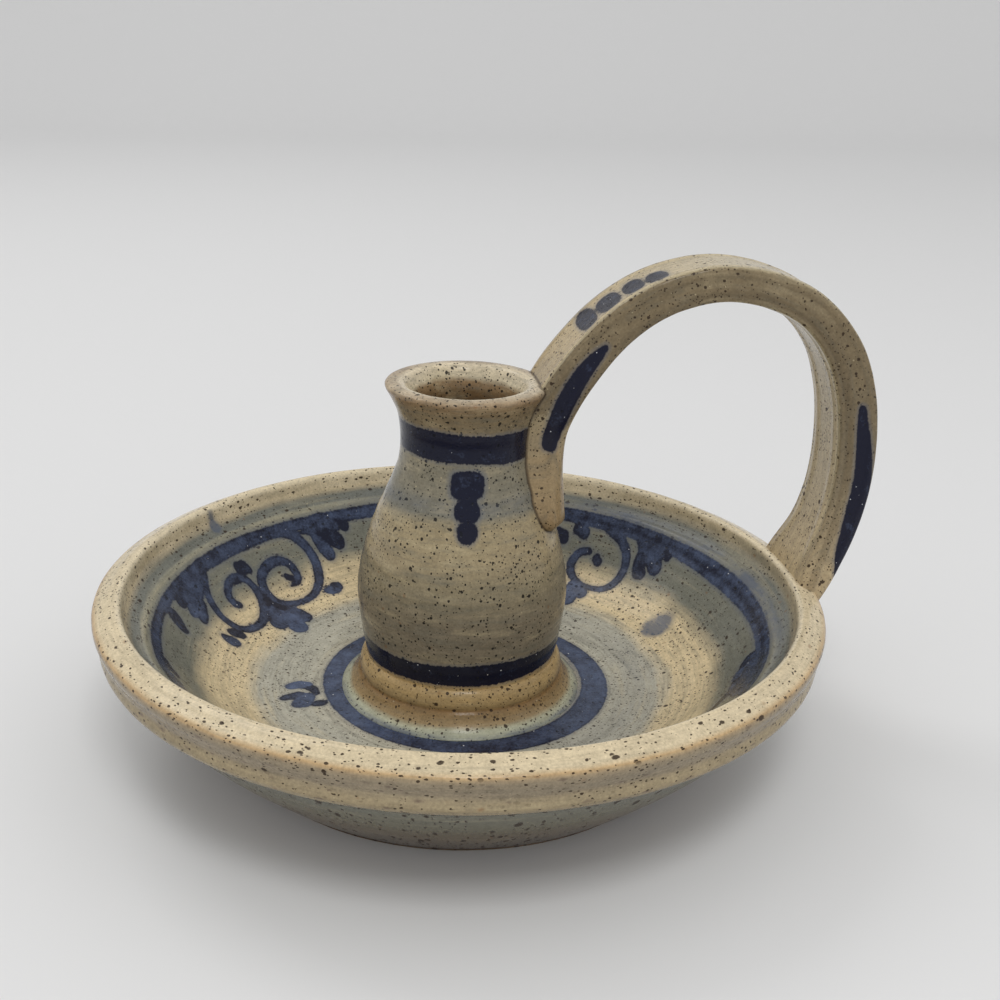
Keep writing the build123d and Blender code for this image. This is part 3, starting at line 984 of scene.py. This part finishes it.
def stoneware(name, zones, flow, warp, mottle, iron, drawn=None, face=None, edges=None, unglazed=None,
              fringe=0.0, calm=None, stained=False, seam=True, brushwork=True, haze=True):
    """Speckled stoneware glaze over the colours of its zones, with cobalt brushed on it.

    Places such as face, calm and unglazed are values of the piece's own zone.
    """
    finish = Finish(name)
    place = finish.place()
    zone = finish.attribute("zone")
    along = flow(finish, zone)
    streak = finish.noise(along, 1.0, 4.0, 0.6)
    scratch = finish.noise(finish.vector("SCALE", along, 3.4), 1.0, 3.0, 0.6)
    cloud = finish.noise(place, 70.0, 3.0, 0.55)
    blotch = finish.noise(place, 430.0, 3.0, 0.6)
    grain = finish.noise(place, 1900.0, 2.0, 0.6)
    if calm:
        warp = warp * (1 - zone.between(calm - 12, calm - 7) * 0.8)
    shifted = zone + ((cloud - 0.5) + (streak - 0.5) * 0.9) * warp
    colour = finish.ramp(shifted, zones)

    def over(share, tint):
        """Lays another colour over what is there, by a share."""
        nonlocal colour
        colour = finish.mix(share, colour, tint)

    if edges:
        start, end, edge_tone_and_shade = edges
        side = finish.attribute("side").math("ABSOLUTE") + (blotch - 0.5) * 1.2
        on_strap = zone.between(20, 32) * zone.between(188, 128)
        # The side faces darken: partly a browner glaze, partly painted shade on the upright faces.
        over(side.between(start, end) * on_strap, edge_tone_and_shade)
        # A darker brown in the finger channel along the edge face: painted shade in the groove.
        rise = finish.attribute("rise") + (blotch - 0.5) * 0.8
        channel = rise.between(0.9, 1.5) * rise.between(3.8, 3.0) * zone.between(70, 90)
        over(side.between(start, end) * channel * 0.3, CHANNEL_SHADE)
        # Lighter lines along the strap's corners: partly glaze that ran thin on the edges, partly painted
        # highlight on the ridges.
        corner = side.between(start - 0.4, start + 0.2) * side.between(end + 0.4, end)
        over(corner * on_strap * 0.5, THIN_GLAZE)

    # Thicker and thinner glaze: throwing streaks, clouds, and a grain as fine as sand
    if calm:
        mottle = mottle * (1 - zone.between(calm - 1.5, calm + 1.5) * 0.55)
    over(streak.between(0.50, 0.76) * mottle, THIN_GLAZE)
    over(streak.between(0.50, 0.26) * mottle, THICK_GLAZE)
    over(scratch.between(0.52, 0.30) * mottle * 0.6, THICK_GLAZE)
    gain = 1 + (blotch - 0.5) * 0.5 + (grain - 0.5) * 0.7 + (scratch - 0.5) * 0.3
    colour = finish.vector("SCALE", colour, gain)

    # Iron specks, from a fine pepper to a few blots, some with a rusty edge
    wander = finish.vector("SCALE", finish.noise(place, 1100.0, 2.0, 0.5, 1), 0.45 * MM)
    speck_place = place
    if drawn:
        speck_place = flow_round(finish, finish.attribute("run"), drawn * MM, MM)
    torn = finish.vector("ADD", speck_place, wander)
    crowd = cloud.between(0.30, 0.66)
    spot_size = 0.50 * MM
    if face:
        # The spots are larger on the wall below the rim's face
        spot_size = spot_size * (1 + zone.between(face[1] + 1, face[1] + 5) * 0.3)
    pepper = finish.specks(torn, 0.66 * MM, 0.29 * MM, crowd * 0.5 + 0.3)
    spots = finish.specks(torn, 1.35 * MM, spot_size, crowd * 0.45 + 0.3)
    blots = finish.specks(torn, 3.8 * MM, 0.68 * MM, 0.5)
    rust = finish.specks(torn, 3.6 * MM, 0.8 * MM, 0.35, 0.9)
    pale = finish.specks(place, 1.7 * MM, 0.26 * MM, 0.4)
    over(pale * 0.4, THIN_GLAZE)
    over(rust * 0.45, IRON_RUST)
    if face:
        # On the rim's face the larger spots have bled into soft purple-brown ones
        bled = finish.specks(finish.vector("MULTIPLY", torn, (1.0, 1.0, 1.6)), 2.6 * MM, 1.15 * MM, 0.8, 0.95)
        on_face = zone.between(face[0] - 1, face[0]) * zone.between(face[1] + 1, face[1])
        over(bled * on_face * 0.62, IRON_BLED)
        spots = spots * (1 - on_face * 0.75)
    over(pepper * 0.93, iron)
    over((spots + blots).clamped() * 0.92, iron)
    pitted = (pepper * 0.5 + spots + blots).clamped()

    painted = None
    if haze:
        # Above 1 the haze is a spot that is blue all over, and below it the glaze breaks it up
        thickest = finish.attribute("haze")
        broken = (cloud * 0.6 + blotch * 0.3 + scratch * 0.5).between(0.50, 0.90)
        thin = thickest.clamped() * broken + (thickest - 1).clamped()
        over(thin.clamped() * 0.85, COBALT_HALO)
    if brushwork:
        ragged = (finish.noise(place, 1300.0, 2.0, 0.6) - 0.5) * 0.45 + (blotch - 0.5) * 0.5
        if fringe:
            runs = finish.noise(finish.vector("MULTIPLY", along, (22.0, 22.0, 0.3)), 1.0, 2.0, 0.6)
            ragged = ragged + (runs - 0.5) * fringe
        depth = finish.attribute("blue") + ragged
        load = finish.attribute("load")
        painted = depth.between(-0.16, 0.20)
        wash = finish.noise(place, 300.0, 3.0, 0.65)
        pooled = depth.between(0.75, 0.25) * 0.2
        strength = (load * 1.1 + (wash - 0.5) * 1.4 + (grain - 0.5) * 0.8 + pooled - 0.14).clamped()
        pigment = finish.mix(strength, COBALT_THIN, COBALT)
        over(depth.between(-1.0, 0.0) * 0.38, COBALT_HALO)
        over(painted * 0.96, finish.mix(pitted * 0.7, pigment, IRON_IN_BLUE))
        # Tiny white flecks on the blue: partly pinholes in the glaze, partly painted glints.
        pinholes_and_glints = finish.specks(place, 1.5 * MM, 0.19 * MM, 0.35) * painted
        over(pinholes_and_glints * 0.85, WHITE_PINHOLE_AND_GLINT)
    if stained:
        over(finish.attribute("rust") * 0.75, IRON_RUST)
    if seam:
        # The dark line at the joins: glaze gathered there, and painted shade in the crease.
        joint = finish.attribute("seam").between(0.62, 0.95)
        over(joint * 0.75, SEAM_POOL_AND_SHADE)

    rough = 0.17 + (grain - 0.5) * 0.12 + pitted * 0.22
    height = grain * 0.30 + blotch * 0.35 + streak * 0.35 + scratch * 0.20 - pitted * 0.50
    if painted:
        height = height + painted * 0.25
    if unglazed:
        rough = rough + zone.between(unglazed - 0.8, unglazed + 0.8) * 0.7
    normal = finish.node(
        "ShaderNodeBump", sockets={"Strength": 0.5, "Distance": 0.16 * MM, "Height": height}
    )
    return finish.surface({
        "Base Color": colour, "Roughness": rough.clamped(), "Normal": normal,
        "IOR": 1.45, "Specular IOR Level": 0.22,
    })


def dish_finish():
    grey = (176, 172, 156)
    sweep = (214, 194, 154)
    olive = (116, 116, 104)
    strip = (150, 146, 126)
    wall = (114, 115, 106)
    rim = (210, 194, 162)
    face = (147, 134, 112)
    zones = [
        (0.0, grey), (29.0, (180, 172, 152)), (36.0, (179, 175, 158)), (46.0, grey),
        (50.5, sweep), (57.5, sweep), (61.5, olive), (69.8, olive), (71.0, strip), (71.7, strip),
        # From 75.3 to 77.6 the lip's inner slope is paler than the rim's top: painted light on the slope.
        (72.3, wall), (74.3, wall), (75.3, (184, 168, 136)), (76.4, (228, 214, 184)),
        (77.6, rim), (81.6, rim), (82.6, (190, 160, 118)), (83.6, face), (87.6, face),
        # At 94.6, under the bead, the colour dips darker than the wall below: painted shade in the undercut.
        (88.8, (160, 145, 116)), (92.6, (146, 131, 103)), (94.6, (92, 90, 79)),
        (97.5, (108, 108, 95)), (106.0, (108, 104, 86)), (114.0, (100, 85, 62)),
        (129.6, (82, 64, 44)), (131.2, (58, 44, 32)), (133.0, (160, 132, 100)),
        (184.0, (164, 138, 106)),
    ]
    return stoneware(
        "dish_glaze", zones, thrown(1.6, 0.42), 5.0, 0.42, IRON_BROWN, drawn=50, face=(83.4, 93.0),
        unglazed=131.8, calm=75, stained=True,
    )


def socket_finish():
    olive = (130, 120, 102)
    zones = [
        (11.0, (184, 156, 108)), (21.5, (184, 156, 108)), (27.5, olive), (36.0, olive),
        (44.0, (140, 129, 104)), (50.0, (158, 143, 113)), (57.5, (160, 145, 114)),
        (60.0, (124, 121, 108)), (64.0, (130, 124, 107)), (70.0, (134, 127, 108)),
        (77.0, (132, 119, 95)), (81.5, (134, 117, 90)), (84.2, (140, 115, 85)),
        (86.2, (208, 194, 168)), (90.0, (212, 199, 170)), (91.3, (142, 117, 85)),
        # Down inside the mouth the colours darken: partly the glaze's own browner tone, partly painted shade
        # in the bore.
        (95.0, (106, 83, 57)), (112.0, (88, 68, 47)), (190.0, (96, 78, 58)),
    ]
    return stoneware("socket_glaze", zones, thrown(1.4, 0.36), 3.0, 0.42, IRON, fringe=0.7)


def coil_finish():
    zones = [
        (-1.0, (176, 180, 158)), (1.2, (180, 180, 156)), (2.1, (158, 136, 100)),
        (3.8, (142, 117, 80)), (4.6, (130, 101, 64)), (5.3, (174, 148, 104)),
        (9.6, (176, 150, 106)),
    ]
    return stoneware(
        "coil_glaze", zones, thrown(1.8, 0.7), 0.8, 0.2, IRON_BROWN, seam=False, brushwork=False
    )


def handle_finish():
    tan = (182, 162, 126)
    zones = [
        (0.0, (140, 116, 84)), (12.0, (150, 130, 98)), (26.0, (154, 136, 106)),
        (42.0, tan), (80.0, (190, 176, 146)), (115.0, (190, 176, 148)),
        (150.0, (180, 164, 134)), (182.0, (188, 165, 126)), (200.0, (200, 178, 140)),
    ]

    def flow(finish, zone):
        side = finish.attribute("side")
        return finish.node("ShaderNodeCombineXYZ", sockets={"X": zone * 0.035, "Y": side * 0.8})

    # The side faces' darker, browner tone is partly the glaze's own and partly painted shade.
    edges = (6.7, 7.7, tone(120, 106, 82))
    return stoneware("handle_glaze", zones, flow, 8.0, 0.32, IRON_BROWN, edges=edges, haze=False)


# The studio

CAMERA_PLACE = (-39.007 * MM, -282.128 * MM, 165.669 * MM)
CAMERA_AZIMUTH = math.radians(-9.5)
CAMERA_TILT = 0.363127
CAMERA_ROLL = 0.032090
SENSOR = 36.0
FOCAL_SHARE = 1.35


def place_camera():
    data = bpy.data.cameras.new("camera")
    data.sensor_width = SENSOR
    data.lens = SENSOR * FOCAL_SHARE
    data.clip_start = 0.01
    camera = bpy.data.objects.new("camera", data)
    bpy.context.scene.collection.objects.link(camera)
    turn = Matrix.Rotation(CAMERA_AZIMUTH, 4, "Z") @ Matrix.Rotation(math.pi / 2 - CAMERA_TILT, 4, "X")
    camera.matrix_world = (
        Matrix.Translation(CAMERA_PLACE) @ turn @ Matrix.Rotation(CAMERA_ROLL, 4, "Z")
    )
    bpy.context.scene.camera = camera


def softbox(name, place, aim, size, power):
    data = bpy.data.lights.new(name, "AREA")
    data.shape = "RECTANGLE"
    data.size, data.size_y = size
    data.energy = power
    lamp = bpy.data.objects.new(name, data)
    bpy.context.scene.collection.objects.link(lamp)
    lamp.location = place
    lamp.rotation_euler = (Vector(aim) - Vector(place)).to_track_quat("-Z", "Y").to_euler()


SWEEP_HALF = 2.4
SWEEP_BACK = 1.3
SWEEP_RISE = 1.6
SWEEP_BEND = 0.5
BEND_STEPS = 16


def make_sweep():
    """Pale paper that runs back from the object and curves up behind it."""
    pick()
    bpy.ops.mesh.primitive_plane_add(size=2 * SWEEP_HALF)
    sweep = bpy.context.object
    sweep.name = sweep.data.name = "paper_sweep"
    mode("EDIT")
    pick_all("DESELECT")
    mode("OBJECT")
    for vertex in sweep.data.vertices:
        if vertex.co.y > 0:
            vertex.co.y = SWEEP_BACK
            vertex.select = True
    mode("EDIT")
    for step in range(BEND_STEPS):
        angle = (step + 0.5) / BEND_STEPS * math.pi / 2
        length = SWEEP_BEND * math.pi / 2 / BEND_STEPS
        move = (0, length * math.cos(angle), length * math.sin(angle))
        bpy.ops.mesh.extrude_region_move(TRANSFORM_OT_translate={"value": move})
    bpy.ops.mesh.extrude_region_move(TRANSFORM_OT_translate={"value": (0, 0, SWEEP_RISE)})
    mode("OBJECT")
    bpy.ops.object.shade_smooth()
    paper = {"Base Color": tone(228, 228, 228), "Roughness": 0.9, "Specular IOR Level": 0.1}
    sweep.data.materials.append(Finish("paper").surface(paper))


ROOM_LIGHT = 0.72


def light_world():
    """A white room, as bright from every side."""
    world = bpy.data.worlds.new("studio")
    bpy.context.scene.world = world
    world.use_nodes = True
    room = world.node_tree.nodes["Background"]
    room.inputs["Color"].default_value = (1.0, 1.0, 1.0, 1.0)
    room.inputs["Strength"].default_value = ROOM_LIGHT


def light_studio():
    softbox("front_softbox", (0.0, -0.60, 1.0), (0, 0, 0), (0.35, 0.35), 3.0)
    softbox("back_softbox", (-0.45, 0.60, 1.0), (0, 0, 0), (0.5, 0.5), 2.0)


def settle(piece, node, material):
    """A finished piece takes its node's place, rides with the object and gets its glaze."""
    piece.data.materials.clear()
    piece.data.materials.append(material)
    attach(piece, RIDES_ON)
    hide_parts(node)


place_camera()
dish_piece = make_dish()
socket_piece = make_socket()
coil_piece = make_coil()
handle_piece = make_handle()
record_seam(dish_piece, [(handle_piece, RIM_SEAM)], SEAM_REACH)
record_seam(socket_piece, [(handle_piece, NECK_SEAM)], SEAM_REACH)
record_seam(handle_piece, [(dish_piece, RIM_SEAM), (socket_piece, NECK_SEAM)], STRAP_SEAM_REACH)
settle(dish_piece, "dish", dish_finish())
settle(socket_piece, "candle_socket", socket_finish())
settle(coil_piece, "foot_collar", coil_finish())
settle(handle_piece, "handle", handle_finish())
make_sweep()
light_world()
light_studio()
bpy.context.scene.view_settings.view_transform = "Standard"
